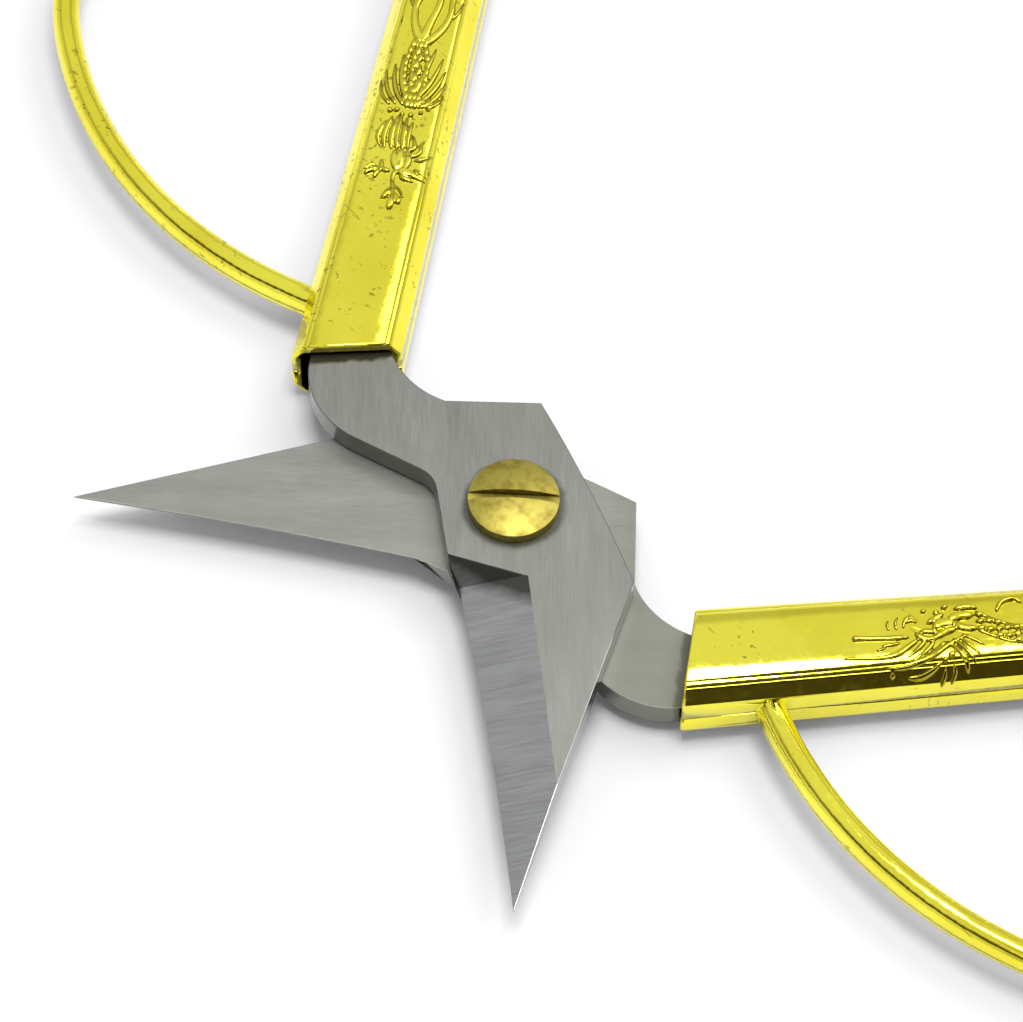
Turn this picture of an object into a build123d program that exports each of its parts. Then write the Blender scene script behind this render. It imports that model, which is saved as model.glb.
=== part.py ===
from build123d import *
from math import atan, cos, degrees, pi, radians, sin, tan
import os

# Relief-handled scissors: two cranked steel halves on a slotted pivot screw,
# each with a hollow two-shell handle bar that carries a slender finger bow.
# Both halves are the same piece. The lower one is turned over about the line
# that the closed scissors point along, which is +Y here. The pivot is the
# Z axis, and the scissors lie open on the plane z = 0. All sizes in mm.

# Pose and pivot
opening = 94
half_opening = opening / 2
face_gap = 0.10
running_fit = 0.05
overrun = 6.0

# Steel halves: sides are measured from the closed line, reaches from the pivot
stock = 2.7
tip_side, tip_reach = 0.3, 44.6
heel_side, heel_reach = 11.9, 9.2
spine_swell = 0.35
corner_side, corner_reach = 2.9, 12.3
crank_side, crank_reach = 6.9, 12.6
crank_hollow = 0.9
elbow_side, elbow_reach = 16.6, 8.4
elbow_swell = 1.6
waist_side, waist_reach = 8.0, 3.5
crotch_radius = 3.2
root_side, root_reach = 6.6, 6.3
edge_side, edge_reach = 5.2, 9.8
edge_hollow = 0.35
edge_land = 0.25
bevel_heel_side, bevel_heel_reach = 1.2, 8.4
bevel_tip_width = 5.4
bevel_entry = 2.1

# Tang inside the handle bar
tang_clearance = 0.08
tang_length = 24.0
tang_end_width = 5.6
peg_clearance = 0.10

# Pivot screw and rear nut
screw_diameter = 5.0
head_diameter = 9.2
head_rim = 1.2
head_crown = 0.80
slot_width, slot_depth = 0.95, 0.95
slot_turn = 44
thread_diameter = 3.6
thread_fit = 0.03
nut_diameter = 8.0
nut_round = 0.5

# Hollow handle bar in two shells that meet at the faces' plane. Each handle has
# settled on its peg at its own small skew.
bar_width, bar_end_width = 11.1, 8.8
bar_length = 68.0
bar_lean = 9.6
upper_skew, lower_skew = 1.5, -0.6
mouth_side, mouth_reach = 16.6, 18.3
mouth_slant = 13.8
panel_height = 4.2
shoulder_height, shoulder_inset = 1.9, 1.3
bar_end_radius = 3.4
panel_round, shoulder_round, mouth_round = 1.2, 0.5, 0.3
wall, end_wall = 0.95, 2.4
boss_diameter, peg_diameter = 5.2, 2.4
boss_along = 17.0

# Finger bow: an oval rod on two arcs, from the bar's side back to its far end
bow_width, bow_height = 3.0, 3.8
bow_root_along, bow_end_back = 7.5, 5.0
bow_radius = 48.0
bow_root_angle, bow_turn_angle = 157, 100

# Low relief body that winds along each panel
relief_height = 0.4
relief_start, relief_length = 22.5, 35.0
relief_width, relief_sway = 2.6, 1.7
relief_waves = 3
relief_taper = 20

# Places that follow from the sizes
joint_height = panel_height + relief_height
face = face_gap / 2
outer_face = face + stock
inner_width = bar_width - 2 * wall
shoulder_base = panel_height - shoulder_height
shoulder_angle = degrees(atan(shoulder_inset / shoulder_height))
widest_skew = max(abs(upper_skew), abs(lower_skew))
tang_play = boss_along * sin(radians(widest_skew)) + tang_clearance
half_mouth = inner_width / 2 - tang_play
mouth_step = half_mouth * tan(radians(mouth_slant))
upper_seat = Plane(
    origin=(0, 0, joint_height),
    x_dir=(cos(radians(half_opening)), sin(radians(half_opening)), 0),
)
lower_seat = Plane(
    origin=(0, 0, joint_height),
    x_dir=(-cos(radians(half_opening)), sin(radians(half_opening)), 0),
    z_dir=(0, 0, -1),
)
bar_frame = Plane(
    origin=(-mouth_side, mouth_reach, 0),
    x_dir=(cos(radians(bar_lean)), -sin(radians(bar_lean)), 0),
)
os.makedirs("parts", exist_ok=True)


def bowed(start, end, swell):
    # Middle point of an arc that swells to the right of the way from start to end.
    along = (Vector(end) - Vector(start)).normalized()
    return (Vector(start) + Vector(end)) / 2 + Vector(along.Y, -along.X) * swell


# One steel half: cranked tang, broad heel and short triangular blade.
tip = (-tip_side, -tip_reach)
heel = (heel_side, -heel_reach)
corner = (corner_side, corner_reach)
crank = (-crank_side, crank_reach)
elbow = (-elbow_side, elbow_reach)
waist = (-waist_side, waist_reach)
root = (-root_side, -root_reach)
edge_start = (-edge_side, -edge_reach)
tang_in = bar_frame.from_local_coords(Vector(half_mouth, mouth_step))
tang_out = bar_frame.from_local_coords(Vector(-half_mouth, -mouth_step))
tang_tip_in = bar_frame.from_local_coords(Vector(tang_end_width / 2, tang_length))
tang_tip_out = bar_frame.from_local_coords(Vector(-tang_end_width / 2, tang_length))
edge_line = (Vector(tip) - Vector(edge_start)).normalized()
edge_across = Vector(-edge_line.Y, edge_line.X)
bevel_rise = stock - edge_land
bevel_up = Vector(0, 0, bevel_rise)
edge_place = Vector(*edge_start, face + edge_land)
bevel_start = edge_place + edge_line * ((bevel_heel_reach - edge_reach) / -edge_line.Y)
bevel_heel = Vector(bevel_heel_side, -bevel_heel_reach, outer_face)
heel_slope = bevel_heel - bevel_start
tip_slope = edge_across * bevel_tip_width + bevel_up
entry_rise = Vector(0, bevel_entry, bevel_rise)
cut_height = stock + overrun

with BuildPart() as steel_half:
    with BuildSketch(Plane.XY.offset(face)):
        with BuildLine():
            Line(tip, heel)
            ThreePointArc(heel, bowed(heel, corner, spine_swell), corner)
            Line(corner, crank)
            ThreePointArc(crank, bowed(crank, tang_in, -crank_hollow), tang_in)
            Polyline(tang_in, tang_tip_in, tang_tip_out, tang_out)
            ThreePointArc(tang_out, bowed(tang_out, elbow, elbow_swell), elbow)
            Polyline(elbow, waist, root, edge_start)
            ThreePointArc(edge_start, bowed(edge_start, tip, -edge_hollow), tip)
        make_face()
    extrude(amount=stock)
    crotch = steel_half.edges().filter_by(Axis.Z).sort_by_distance((*waist, face))[0]
    fillet(crotch, radius=crotch_radius)
    tang_corners = steel_half.edges().filter_by(Axis.Z).sort_by(Axis.Y)[-2:]
    fillet(tang_corners, radius=tang_end_width / 3)
    # Ground bevel: a ruled cut above a slope, from a leaning entry to past the tip.
    for place, slope, rise in (
        (bevel_start, heel_slope, entry_rise),
        (bevel_start + edge_line * (tip_reach + overrun), tip_slope, bevel_up),
    ):
        with BuildSketch(Plane(origin=place, x_dir=slope, z_dir=slope.cross(rise))):
            Rectangle(
                2 * slope.length + overrun, cut_height, align=(Align.CENTER, Align.MIN)
            )
    loft(ruled=True, mode=Mode.SUBTRACT)
    # Pivot hole and the hole that the handle's peg passes through.
    with BuildSketch():
        Circle(screw_diameter / 2 + running_fit)
    extrude(amount=outer_face + overrun, mode=Mode.SUBTRACT)
    with BuildSketch(bar_frame):
        with Locations((0, boss_along)):
            Circle(peg_diameter / 2 + peg_clearance)
    extrude(amount=outer_face + overrun, mode=Mode.SUBTRACT)

with BuildPart() as upper_blade:
    with Locations(upper_seat):
        add(steel_half.part)
upper_blade.part.label = "upper_blade"
export_step(upper_blade.part, "parts/upper_blade.step")

with BuildPart() as lower_blade:
    with Locations(lower_seat):
        add(steel_half.part)
lower_blade.part.label = "lower_blade"
export_step(lower_blade.part, "parts/lower_blade.step")

# Pivot screw: low crowned head with a rim and a slot, a shank through both
# halves, and a thinner threaded end for the nut.
head_base = joint_height + outer_face + running_fit
shank_end = joint_height - outer_face
with BuildPart() as pivot_screw:
    with BuildSketch(Plane.XZ):
        with BuildLine():
            Polyline(
                (0, head_base + head_rim + head_crown),
                (0, 0),
                (thread_diameter / 2, 0),
                (thread_diameter / 2, shank_end),
                (screw_diameter / 2, shank_end),
                (screw_diameter / 2, head_base),
                (head_diameter / 2, head_base),
                (head_diameter / 2, head_base + head_rim),
            )
            crown_middle = bowed(
                (head_diameter / 2, head_base + head_rim),
                (0, head_base + head_rim + head_crown),
                head_crown / 4,
            )
            ThreePointArc(
                (head_diameter / 2, head_base + head_rim),
                crown_middle,
                (0, head_base + head_rim + head_crown),
            )
        make_face()
    revolve(axis=Axis.Z)
    with BuildSketch(Plane.XY.offset(head_base + head_rim + head_crown)):
        Rectangle(head_diameter + overrun, slot_width, rotation=slot_turn)
    extrude(amount=-slot_depth, mode=Mode.SUBTRACT)
pivot_screw.part.label = "pivot_screw"
export_step(pivot_screw.part, "parts/pivot_screw.step")

# Rear nut, tight against the lower half. Its flat end lies in the rest plane.
with BuildPart() as pivot_nut:
    with BuildSketch(Plane.XY.offset(shank_end)):
        Circle(nut_diameter / 2)
        Circle(thread_diameter / 2 + thread_fit, mode=Mode.SUBTRACT)
    extrude(amount=-shank_end)
    nut_rim = pivot_nut.faces().sort_by(Axis.Z)[0].edges().sort_by(SortBy.LENGTH)[-1]
    fillet(nut_rim, radius=nut_round)
pivot_nut.part.label = "pivot_nut"
export_step(pivot_nut.part, "parts/pivot_nut.step")

# One handle shell: half of the hollow bar with half of the bow.
half_angle = degrees(atan((bar_width - bar_end_width) / 2 / bar_length))
bow_inset = bar_width / 2 - wall / 2
end_inset = bar_end_width / 2 - wall / 2
bow_start = bar_frame.from_local_coords(Vector(-bow_inset, bow_root_along))
bow_end = bar_frame.from_local_coords(Vector(-end_inset, bar_length - bow_end_back))
bow_centre = bow_start + Vector(bow_radius).rotate(Axis.Z, bow_root_angle - 90)


def bar_corners(inset, end_inset):
    # Corners of the bar's tapered plan, run past the mouth and drawn in by the insets.
    taper = tan(radians(half_angle))
    half_start = bar_width / 2 - inset + overrun * taper
    half_end = bar_end_width / 2 - inset + end_inset * taper
    end = bar_length - end_inset
    return (-half_start, -overrun), (half_start, -overrun), (half_end, end), (-half_end, end)


with BuildPart() as shell:
    with BuildSketch(bar_frame):
        with BuildLine():
            Polyline(*bar_corners(0, 0), close=True)
        make_face()
        fillet(vertices().sort_by(Axis.Y)[-2:], radius=bar_end_radius)
    extrude(amount=panel_height)
    panel = shell.faces().sort_by(Axis.Z)[-1]
    chamfer(panel.edges(), length=shoulder_inset, length2=shoulder_height, reference=panel)
    fillet(shell.edges().filter_by_position(Axis.Z, shoulder_base, shoulder_base), shoulder_round)
    fillet(shell.faces().sort_by(Axis.Z)[-1].edges(), radius=panel_round)
    # The bow's half section runs along its two arcs.
    with BuildLine() as bow_line:
        first_arc = CenterArc(
            bow_centre, bow_radius, bow_root_angle + 90, bow_turn_angle - bow_root_angle
        )
        TangentArc(first_arc @ 1, bow_end, tangent=first_arc % 1)
    with BuildSketch(Plane(origin=bow_start, x_dir=(0, 0, 1), z_dir=first_arc % 0)):
        Ellipse(bow_height / 2, bow_width / 2)
        Rectangle(
            bow_height, 2 * bow_width, align=(Align.MAX, Align.CENTER), mode=Mode.SUBTRACT
        )
    sweep(path=bow_line.wire())
    # The mouth is cut on a slant, its lip is rounded, and the bar is hollowed.
    with BuildSketch(bar_frame):
        Rectangle(
            2 * bar_width, 2 * overrun, rotation=mouth_slant, align=(Align.CENTER, Align.MAX)
        )
    extrude(amount=panel_height, mode=Mode.SUBTRACT)
    mouth = shell.faces().sort_by(Axis.Y)[0]
    fillet(mouth.edges().filter_by_position(Axis.Z, mouth_round, panel_height), mouth_round)
    with BuildSketch(bar_frame) as hollow:
        with BuildLine():
            Polyline(*bar_corners(wall, end_wall), close=True)
        make_face()
    extrude(amount=outer_face, mode=Mode.SUBTRACT)
    extrude(
        hollow.sketch.moved(Location((0, 0, outer_face))),
        amount=panel_height - wall - outer_face,
        taper=shoulder_angle,
        mode=Mode.SUBTRACT,
    )
    # Relief body that winds along the panel.
    with BuildSketch(bar_frame.offset(panel_height)):
        with BuildLine() as relief_line:
            Spline(*[
                (relief_sway * sin(pi * quarter / 2), relief_start + relief_length * quarter / steps)
                for steps in (4 * relief_waves,)
                for quarter in range(steps + 1)
            ])
        trace(relief_line.line, line_width=relief_width)
    extrude(amount=relief_height, taper=relief_taper)

# The shell over the tang has a pad that presses on it.
with BuildPart() as pad_shell:
    add(shell.part)
    with BuildSketch(bar_frame.offset(outer_face)):
        with Locations((0, boss_along)):
            Circle(boss_diameter / 2)
    extrude(amount=panel_height - wall / 2 - outer_face)

# The shell under the tang carries a boss, and a peg through the tang's hole.
with BuildPart() as boss_shell:
    with BuildSketch(bar_frame.offset(-face)):
        with Locations((0, boss_along)):
            Circle(boss_diameter / 2)
    extrude(amount=panel_height - wall / 2)
    with BuildSketch(bar_frame.offset(-outer_face)):
        with Locations((0, boss_along)):
            Circle(peg_diameter / 2)
    extrude(amount=stock)
    add(shell.part)
    mirror(about=Plane.XY, mode=Mode.REPLACE)

peg_place = Location(bar_frame.from_local_coords(Vector(0, boss_along)))
for name, blank, seat, skew in (
    ("upper_handle_front_shell", pad_shell, upper_seat, upper_skew),
    ("upper_handle_back_shell", boss_shell, upper_seat, upper_skew),
    ("lower_handle_front_shell", boss_shell, lower_seat, lower_skew),
    ("lower_handle_back_shell", pad_shell, lower_seat, lower_skew),
):
    with BuildPart() as handle_shell:
        with Locations(seat.location * peg_place * Rotation(0, 0, -skew) * peg_place.inverse()):
            add(blank.part)
    handle_shell.part.label = name
    export_step(handle_shell.part, f"parts/{name}.step")
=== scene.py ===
import math

import bmesh
import bpy
from mathutils import Matrix, Vector


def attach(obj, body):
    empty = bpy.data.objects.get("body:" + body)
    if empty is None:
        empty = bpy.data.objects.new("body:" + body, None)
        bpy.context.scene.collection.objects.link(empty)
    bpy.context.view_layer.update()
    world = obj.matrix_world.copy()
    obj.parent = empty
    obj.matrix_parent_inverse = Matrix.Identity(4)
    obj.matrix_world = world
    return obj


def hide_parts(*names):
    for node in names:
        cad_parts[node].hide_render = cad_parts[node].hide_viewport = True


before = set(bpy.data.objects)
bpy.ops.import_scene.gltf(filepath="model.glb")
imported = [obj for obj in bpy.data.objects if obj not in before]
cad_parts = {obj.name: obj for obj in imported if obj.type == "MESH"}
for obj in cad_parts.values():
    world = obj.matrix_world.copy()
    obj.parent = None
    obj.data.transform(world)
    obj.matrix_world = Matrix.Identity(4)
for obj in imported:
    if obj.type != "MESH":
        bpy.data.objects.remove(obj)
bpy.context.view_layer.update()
MM = 0.001

# The view. A long lens looks down at the open scissors from in front of the
# upper blade. The place and the turn of the camera were found by fitting the
# photograph's outlines to the modelled halves.
view_right = Vector((0.68668, 0.72691, 0.00785))
view_up = Vector((-0.61473, 0.57488, 0.54001))
view_back = Vector((0.38803, -0.37565, 0.84162))
camera_place = Vector((165.96, -160.95, 366.38)) * MM
focal_pixels, image_width = 4254.4, 1023
camera_data = bpy.data.cameras.new("camera")
camera_data.sensor_width = 36
camera_data.lens = focal_pixels / image_width * camera_data.sensor_width
camera_data.clip_start = 0.01
camera = bpy.data.objects.new("camera", camera_data)
turn = Matrix((view_right, view_up, view_back)).transposed().to_4x4()
camera.matrix_world = Matrix.Translation(camera_place) @ turn
bpy.context.collection.objects.link(camera)
bpy.context.scene.camera = camera

# The table and the room. A white sheet carries the scissors and takes their
# soft shadow. The plated handles mirror a pale room, which has a dim side low
# in front, a dark card high in front and a dark shelf all round.
table_size, table_drop = 6, 0.05 * MM
sheet_colour, sheet_glow = (0.76, 0.76, 0.77, 1), 0.02
bpy.ops.object.select_all(action="DESELECT")
bpy.ops.mesh.primitive_plane_add(size=table_size, location=(0, 0, -table_drop))
table = bpy.context.object
table.name = "table"
sheet = bpy.data.materials.new("white_sheet")
sheet.use_nodes = True
nodes, links = sheet.node_tree.nodes, sheet.node_tree.links
shader = nodes["Principled BSDF"]
shader.inputs["Base Color"].default_value = sheet_colour
shader.inputs["Roughness"].default_value = 0.9
shader.inputs["Specular IOR Level"].default_value = 0.1
shader.inputs["Emission Color"].default_value = (1, 1, 1, 1)
rays = nodes.new("ShaderNodeLightPath")
seen = nodes.new("ShaderNodeMath")
seen.operation = "MAXIMUM"
links.new(rays.outputs["Is Camera Ray"], seen.inputs[0])
links.new(rays.outputs["Is Glossy Ray"], seen.inputs[1])
glow = nodes.new("ShaderNodeMath")
glow.operation = "MULTIPLY"
glow.inputs[1].default_value = sheet_glow
links.new(seen.outputs[0], glow.inputs[0])
links.new(glow.outputs[0], shader.inputs["Emission Strength"])
table.data.materials.append(sheet)

world = bpy.data.worlds.new("room")
bpy.context.scene.world = world
world.use_nodes = True
nodes, links = world.node_tree.nodes, world.node_tree.links
nodes.clear()
dim_side = Vector((0.80, -0.57, 0.17)).normalized()
card_side = Vector((0.388, -0.376, 0.842))
pale, dimmed = (0.92, 0.92, 0.93, 1), (0.06, 0.05, 0.045, 1)
card_colour, shelf_colour = (0.10, 0.09, 0.085, 1), (0.13, 0.11, 0.09, 1)
full_white, room_strength = (1, 1, 1, 1), 0.85
way = nodes.new("ShaderNodeTexCoord")
toward = nodes.new("ShaderNodeVectorMath")
toward.operation = "DOT_PRODUCT"
toward.inputs[1].default_value = dim_side
links.new(way.outputs["Generated"], toward.inputs[0])
dim = nodes.new("ShaderNodeValToRGB")
dim.color_ramp.elements[0].position = 0.70
dim.color_ramp.elements[0].color = pale
dim.color_ramp.elements[1].position = 0.86
dim.color_ramp.elements[1].color = dimmed
links.new(toward.outputs["Value"], dim.inputs["Fac"])
facing = nodes.new("ShaderNodeVectorMath")
facing.operation = "DOT_PRODUCT"
facing.inputs[1].default_value = card_side
links.new(way.outputs["Generated"], facing.inputs[0])
card = nodes.new("ShaderNodeValToRGB")
card.color_ramp.elements[0].position = 0.925
card.color_ramp.elements[0].color = full_white
card.color_ramp.elements[1].position = 0.955
card.color_ramp.elements[1].color = card_colour
links.new(facing.outputs["Value"], card.inputs["Fac"])
elevation = nodes.new("ShaderNodeSeparateXYZ")
links.new(way.outputs["Generated"], elevation.inputs["Vector"])
shelf = nodes.new("ShaderNodeValToRGB")
shelf.color_ramp.elements[0].position = 0.24
shelf.color_ramp.elements[0].color = full_white
shelf.color_ramp.elements[1].position = 0.33
shelf.color_ramp.elements[1].color = shelf_colour
shelf.color_ramp.elements.new(0.52).color = shelf_colour
shelf.color_ramp.elements.new(0.64).color = full_white
links.new(elevation.outputs["Z"], shelf.inputs["Fac"])
walls = nodes.new("ShaderNodeMixRGB")
walls.blend_type = "MULTIPLY"
walls.inputs["Fac"].default_value = 1
links.new(dim.outputs["Color"], walls.inputs["Color1"])
links.new(card.outputs["Color"], walls.inputs["Color2"])
shaded = nodes.new("ShaderNodeMixRGB")
shaded.blend_type = "MULTIPLY"
near_side = nodes.new("ShaderNodeMapRange")
near_side.inputs["From Min"].default_value = -0.30
near_side.inputs["From Max"].default_value = 0.25
near_side.inputs["To Min"].default_value = 0.35
links.new(toward.outputs["Value"], near_side.inputs["Value"])
links.new(near_side.outputs["Result"], shaded.inputs["Fac"])
links.new(walls.outputs["Color"], shaded.inputs["Color1"])
links.new(shelf.outputs["Color"], shaded.inputs["Color2"])
white = nodes.new("ShaderNodeMixRGB")
white.inputs["Color2"].default_value = full_white
rays = nodes.new("ShaderNodeLightPath")
links.new(rays.outputs["Is Camera Ray"], white.inputs["Fac"])
links.new(shaded.outputs["Color"], white.inputs["Color1"])
room = nodes.new("ShaderNodeBackground")
room.inputs["Strength"].default_value = room_strength
links.new(white.outputs["Color"], room.inputs["Color"])
out = nodes.new("ShaderNodeOutputWorld")
links.new(room.outputs["Background"], out.inputs["Surface"])

# Three soft boxes: a large one beyond the handles, a strip that draws the bright
# line along the handles' shoulders, and a broad one overhead that shines white
# on the crowned edges of the panels. Each line holds place, size and power.
for name, lamp_place, size, power in (
    ("soft_box", (0.12, 0.55, 0.70), (0.50, 0.50), 2.2),
    ("strip", (0.42, -0.42, 0.42), (0.60, 0.10), 0.6),
    ("overhead", (0.03, 0.02, 0.70), (0.26, 0.26), 3.0),
):
    lamp_data = bpy.data.lights.new(name, "AREA")
    lamp_data.shape = "RECTANGLE"
    lamp_data.size, lamp_data.size_y = size
    lamp_data.energy = power
    lamp = bpy.data.objects.new(name, lamp_data)
    lamp.location = lamp_place
    lamp.rotation_euler = (-Vector(lamp_place)).to_track_quat("-Z", "Y").to_euler()
    bpy.context.collection.objects.link(lamp)
bpy.context.scene.view_settings.view_transform = "Standard"

# The steel halves: stamped and ground stainless blades. Fine straight grain runs
# along the faces and wheel marks cross the ground bevel. Where the neck goes
# into the handle's mouth, it is painted dark: the painted shadow of the mouth.
half_opening = math.radians(47)
pivot_height = 4.6 * MM
flank_dark, flank_light = (0.198, 0.202, 0.181, 1), (0.262, 0.266, 0.243, 1)
ground_dark, ground_light = (0.305, 0.315, 0.308, 1), (0.405, 0.416, 0.404, 1)
cloud_colour, stain_colour = (0.215, 0.220, 0.190, 1), (0.23, 0.225, 0.185, 1)
burnt_colour, mouth_shadow_colour = (0.075, 0.078, 0.070, 1), (0.055, 0.050, 0.034, 1)
neck_shade_colour, screw_shadow_colour = (0.160, 0.165, 0.125, 1), (0.060, 0.060, 0.045, 1)
runout_place, runout_lean = 16.5, 0.55
mouth_shadow_start, neck_lean = 13.0, 0.073
face_rough_low, face_rough_high, bevel_rough, wall_rough = 0.36, 0.47, 0.33, 0.20
scratch_strength, scratch_depth = 0.22, 0.02 * MM


def grey(level):
    return (level, level, level, 1)


def new_group(name, takes, gives):
    """A node group with named inputs and outputs, and the sockets of its two ends."""
    group = bpy.data.node_groups.new(name, "ShaderNodeTree")
    for way, sockets in (("INPUT", takes), ("OUTPUT", gives)):
        for title, kind in sockets:
            group.interface.new_socket(name=title, in_out=way, socket_type="NodeSocket" + kind)
    return group, group.nodes.new("NodeGroupInput").outputs, group.nodes.new("NodeGroupOutput").inputs


def satin_steel():
    """The satin of both halves, with painted shade and a painted sheen. Its patterns lie along a half as
    it is when closed.
    """
    takes = [("Closed Place", "Vector"), ("Outer Side", "Float"), ("Gain", "Float"), ("Neck Shade", "Float")]
    gives = [("Colour", "Color"), ("Roughness", "Float"), ("Scratches", "Float")]
    group, given, made = new_group("satin_steel", takes, gives)
    nodes, links = group.nodes, group.links
    closed, over = given["Closed Place"], given["Outer Side"]

    def noise(vector, scale, detail):
        lay = nodes.new("ShaderNodeMapping")
        lay.inputs["Scale"].default_value = scale
        links.new(vector, lay.inputs["Vector"])
        texture = nodes.new("ShaderNodeTexNoise")
        texture.inputs["Scale"].default_value = 1.0
        texture.inputs["Detail"].default_value = detail
        links.new(lay.outputs["Vector"], texture.inputs["Vector"])
        return texture.outputs["Fac"]

    # The painted sheen, a painted reflection, lightens the colours.
    def lightened(colour):
        scaled = nodes.new("ShaderNodeVectorMath")
        scaled.operation = "SCALE"
        links.new(colour, scaled.inputs[0])
        links.new(given["Gain"], scaled.inputs["Scale"])
        return scaled.outputs["Vector"]

    def ramp(value, low, high, dark=grey(0), light=grey(1)):
        fade = nodes.new("ShaderNodeValToRGB")
        dark_end, light_end = fade.color_ramp.elements
        dark_end.position, dark_end.color = low, dark
        light_end.position, light_end.color = high, light
        links.new(value, fade.inputs["Fac"])
        return fade.outputs["Color"]

    def blend(mask, first, second):
        mix = nodes.new("ShaderNodeMixRGB")
        links.new(mask, mix.inputs["Fac"])
        links.new(first, mix.inputs["Color1"])
        if isinstance(second, tuple):
            mix.inputs["Color2"].default_value = second
        else:
            links.new(second, mix.inputs["Color2"])
        return mix.outputs["Color"]

    def work_out(operation, first, second):
        maths = nodes.new("ShaderNodeMath")
        maths.operation = operation
        for socket, value in zip(maths.inputs, (first, second)):
            if isinstance(value, (int, float)):
                socket.default_value = value
            else:
                links.new(value, socket)
        return maths.outputs[0]

    def weighed(first, weight, second, other_weight):
        first_part = work_out("MULTIPLY", first, weight)
        return work_out("ADD", first_part, work_out("MULTIPLY", second, other_weight))

    # Grain along the blade, long soft rub marks, and small dull stains.
    grain = noise(closed, (9000, 420, 4000), 4)
    rub = noise(closed, (420, 60, 400), 3)
    stain = noise(closed, (520, 520, 520), 5)
    marks = weighed(grain, 0.6, rub, 0.4)
    tone = ramp(marks, 0.3, 0.7, flank_dark, flank_light)
    cloud = ramp(noise(closed, (210, 150, 210), 3), 0.40, 0.62, light=grey(0.5))
    tone = lightened(blend(cloud, tone, cloud_colour))
    stained = ramp(stain, 0.66, 0.74, light=grey(0.35))
    tone = blend(stained, tone, stain_colour)

    # The bevel is found by its leaning normal, on the outer side only.
    shape = nodes.new("ShaderNodeNewGeometry")
    parts = nodes.new("ShaderNodeSeparateXYZ")
    links.new(shape.outputs["True Normal"], parts.inputs["Vector"])
    facing = work_out("MULTIPLY", parts.outputs["Z"], over)
    not_upright = ramp(facing, 0.60, 0.62)
    not_level = ramp(facing, 0.985, 0.995, dark=grey(1), light=grey(0))
    leaning = work_out("MULTIPLY", not_upright, not_level)
    wheel = noise(closed, (160, 3600, 500), 5)
    bands = noise(closed, (90, 520, 300), 2)
    wheel_marks = weighed(wheel, 0.65, bands, 0.35)
    streak = lightened(ramp(wheel_marks, 0.36, 0.64, ground_dark, ground_light))
    tone = blend(leaning, tone, streak)

    # A darker burnt patch where the wheel ran out; painted shadow by the mouth.
    # Lengths are taken in mm here, and the stains fray the edges of both.
    spot = nodes.new("ShaderNodeSeparateXYZ")
    links.new(closed, spot.inputs["Vector"])
    side = work_out("MULTIPLY", spot.outputs["X"], over)
    reach = spot.outputs["Y"]
    runout = weighed(reach, 1 / MM, side, runout_lean / MM)
    past_wheel = work_out("DIVIDE", work_out("ADD", runout, runout_place), 10)
    burnt = ramp(work_out("ADD", past_wheel, work_out("MULTIPLY", stain, 0.12)), 0.58, 0.76)
    tone = blend(work_out("MULTIPLY", burnt, leaning), tone, burnt_colour)
    neck = weighed(reach, 1 / MM, side, -neck_lean / MM)
    past_neck = work_out("DIVIDE", work_out("SUBTRACT", neck, mouth_shadow_start), 10)
    mouth_shadow = ramp(work_out("ADD", past_neck, work_out("MULTIPLY", stain, 0.16)), 0.620, 0.665)
    tone = blend(mouth_shadow, tone, mouth_shadow_colour)
    # Painted shade darkens the lower neck towards the handle.
    neck_shade = work_out("MULTIPLY", ramp(work_out("DIVIDE", neck, 20), 0.45, 0.70), given["Neck Shade"])
    tone = blend(neck_shade, tone, neck_shade_colour)

    # A thin ring of painted shadow lies round the screw's head.
    around = nodes.new("ShaderNodeVectorMath")
    around.operation = "LENGTH"
    from_above = nodes.new("ShaderNodeCombineXYZ")
    links.new(spot.outputs["X"], from_above.inputs["X"])
    links.new(spot.outputs["Y"], from_above.inputs["Y"])
    links.new(from_above.outputs["Vector"], around.inputs[0])
    from_pivot = weighed(around.outputs["Value"], 100, stain, 0.10)
    screw_shadow = ramp(from_pivot, 0.545, 0.60, dark=grey(0.75), light=grey(0))
    tone = blend(screw_shadow, tone, screw_shadow_colour)
    links.new(tone, made["Colour"])

    # Handling keeps the stamped side walls brighter than the faces.
    scuffs = weighed(rub, 0.5, grain, 0.5)
    rough = ramp(scuffs, 0.3, 0.7, grey(face_rough_low), grey(face_rough_high))
    rough = blend(leaning, rough, grey(bevel_rough))
    wall = ramp(work_out("ABSOLUTE", facing, 0), 0.25, 0.45, dark=grey(1), light=grey(0))
    rough = blend(wall, rough, grey(wall_rough))
    links.new(rough, made["Roughness"])
    links.new(blend(leaning, grain, wheel), made["Scratches"])
    return group


satin = satin_steel()


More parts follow.
